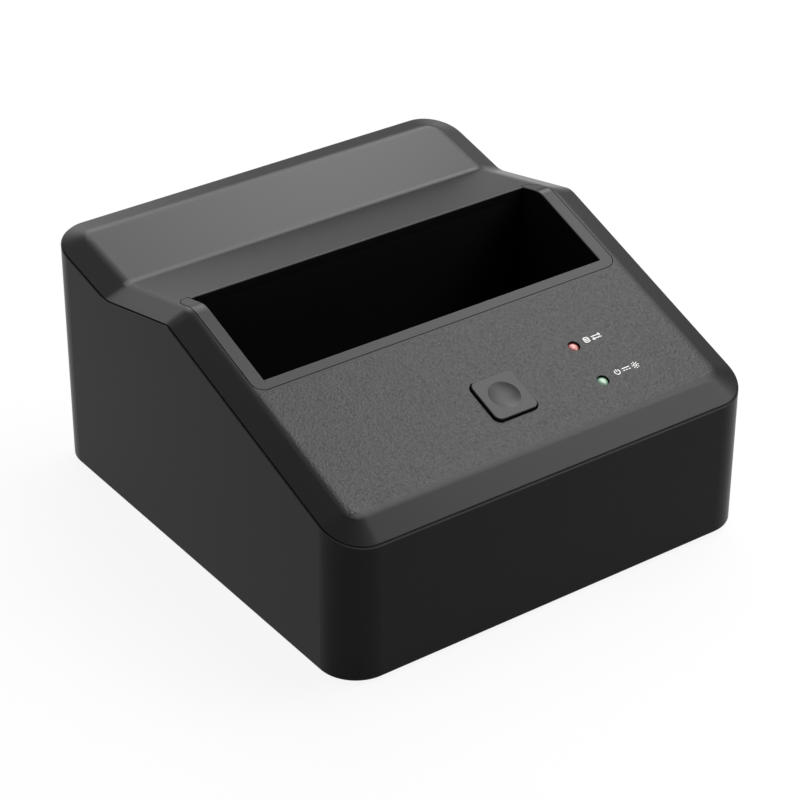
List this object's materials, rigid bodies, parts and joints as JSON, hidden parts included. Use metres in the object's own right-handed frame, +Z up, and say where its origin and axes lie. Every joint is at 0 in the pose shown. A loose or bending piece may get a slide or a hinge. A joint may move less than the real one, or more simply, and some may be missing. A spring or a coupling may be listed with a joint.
{
  "type": "drive docking station",
  "caption": "Wedge-shaped desktop dock that holds a bare hard drive upright in a top slot, with a sprung power button and lamps on its sloping front panel.",
  "frame": {"origin": "under the middle of the case's plan, on the plane of the feet's undersides", "axes": "+Z up, +X to the viewer's right along the front wall, +Y from the front wall to the rear wall"},
  "size_m": [0.126, 0.134, 0.0677],
  "materials": {
    "housing_abs": "smooth satin moulded ABS, black",
    "cover_abs": "satin moulded ABS, black, fine grain on the front panel",
    "liner_abs": "satin moulded ABS, black, dull in the well",
    "connector_plastic": "moulded glass-filled plastic, black",
    "contact_metal": "gold-flashed spring metal",
    "board_laminate": "solder-masked glass laminate",
    "shell_steel": "nickel-plated pressed steel",
    "usb_plastic": "moulded plastic, blue",
    "chip_epoxy": "moulded epoxy, black",
    "can_aluminium": "drawn aluminium can",
    "coil_ferrite": "pressed ferrite, grey",
    "button_abs": "satin moulded ABS, black",
    "switch_plastic": "moulded plastic, black",
    "plunger_plastic": "moulded acetal, white",
    "spring_steel": "drawn wire, bright",
    "red_lens": "clear tinted epoxy, red",
    "green_lens": "clear tinted epoxy, pale green",
    "header_nylon": "moulded nylon, natural",
    "wire_pvc": "PVC wire insulation",
    "screw_steel": "zinc-plated steel",
    "foot_rubber": "moulded silicone rubber, black"
  },
  "bodies": {
    "case": {"lower_housing": "housing_abs", "top_cover": "cover_abs", "drive_bay_liner": "liner_abs", "sata_receptacle": "connector_plastic", "sata_contacts": "contact_metal", "main_board": "board_laminate", "usb_socket_shell": "shell_steel", "usb_socket_insulator": "usb_plastic", "dc_jack_body": "connector_plastic", "dc_jack_pin": "contact_metal", "bridge_chip": "chip_epoxy", "filter_capacitors": "can_aluminium", "power_inductors": "coil_ferrite", "crystal_can": "shell_steel", "switch_body": "switch_plastic", "switch_spring": "spring_steel", "data_lamp": "red_lens", "power_lamp": "green_lens", "lamp_leads": "spring_steel", "panel_board": "board_laminate", "main_header": "header_nylon", "panel_header": "header_nylon", "main_plug": "header_nylon", "panel_plug": "header_nylon", "panel_cable": "wire_pvc", "case_screws": "screw_steel", "board_screws": "screw_steel", "panel_screws": "screw_steel", "rubber_feet": "foot_rubber"},
    "button": {"power_button": "button_abs", "switch_plunger": "plunger_plastic"}
  },
  "joints": [
    {"name": "button_press", "type": "slide", "parent": "case", "child": "button", "axis": [0, 0.3355, -0.9421], "range_m": [0, 0.0015], "stiffness_N_per_m": 1200, "deforming": ["switch_spring"]}
  ]
}
